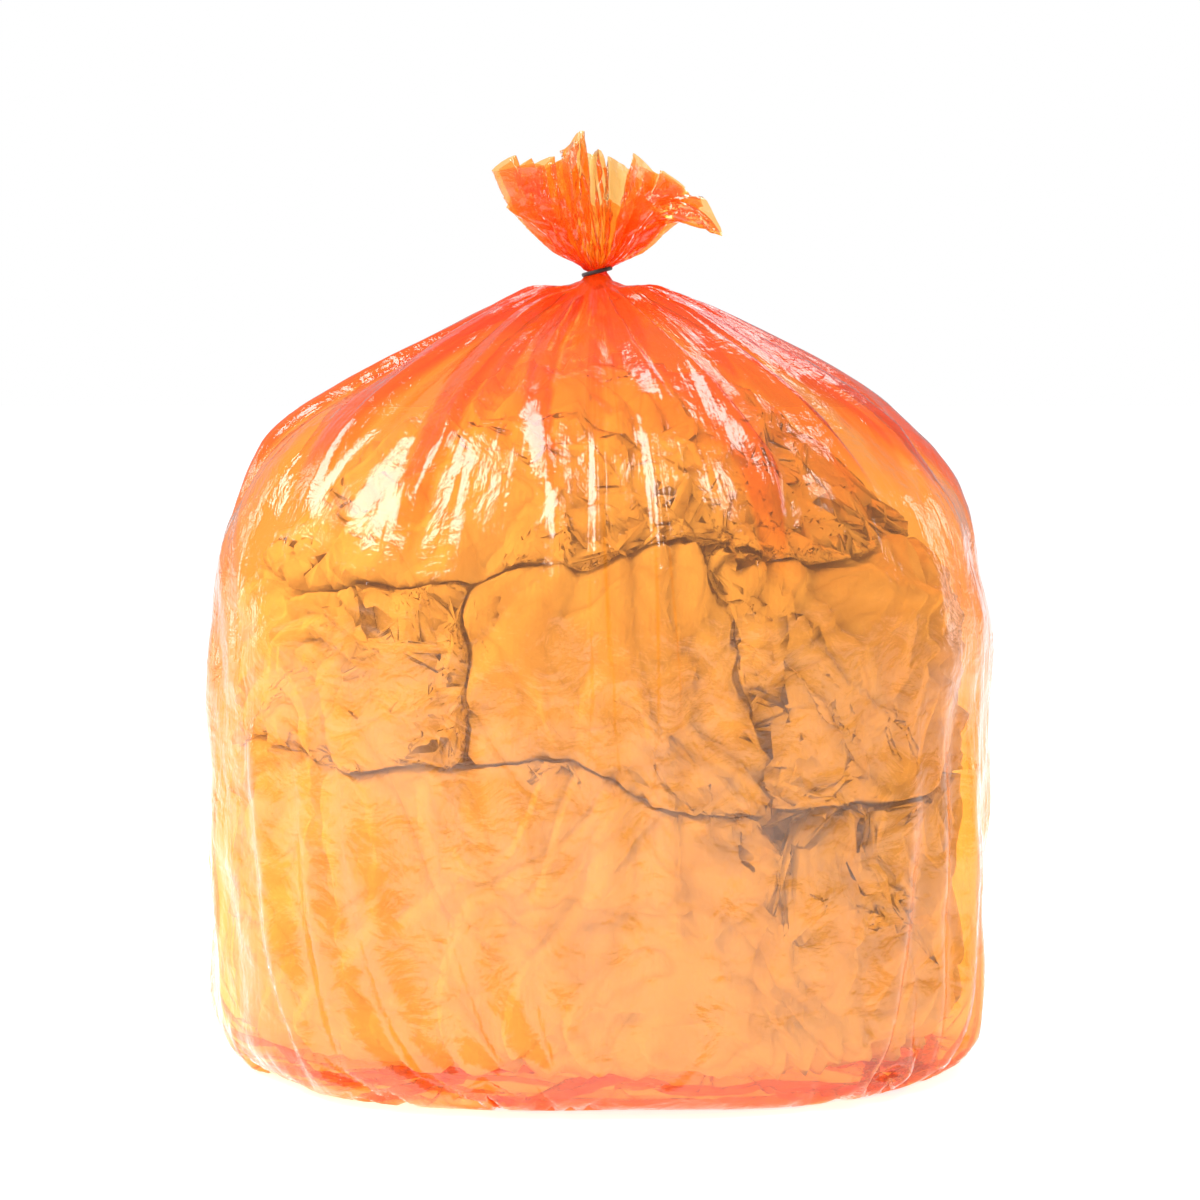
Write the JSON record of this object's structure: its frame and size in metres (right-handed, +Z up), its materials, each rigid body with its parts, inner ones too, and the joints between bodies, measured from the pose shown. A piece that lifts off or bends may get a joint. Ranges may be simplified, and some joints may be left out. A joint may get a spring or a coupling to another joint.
{
  "type": "trash can liner",
  "caption": "Translucent film sack stuffed with loose cloth, gathered at the neck and closed by a thin tie, with the spare film standing up as an open frill.",
  "frame": {"origin": "middle of the flat base, on the floor, under the middle of the sack's box", "axes": "+Z up towards the neck and frill, +X along the sack's width, +Y towards its back"},
  "size_m": [0.5402, 0.432, 0.6401],
  "materials": {
    "film": "glossy translucent orange film, crumpled",
    "cloth": "matt off-white woven cloth, crumpled",
    "tie": "satin black"
  },
  "bodies": {
    "root": {"bag_film": "film", "neck_tie": "tie", "cloth_lower": "cloth", "cloth_left": "cloth", "cloth_middle": "cloth", "cloth_right": "cloth", "cloth_upper": "cloth"}
  },
  "joints": []
}
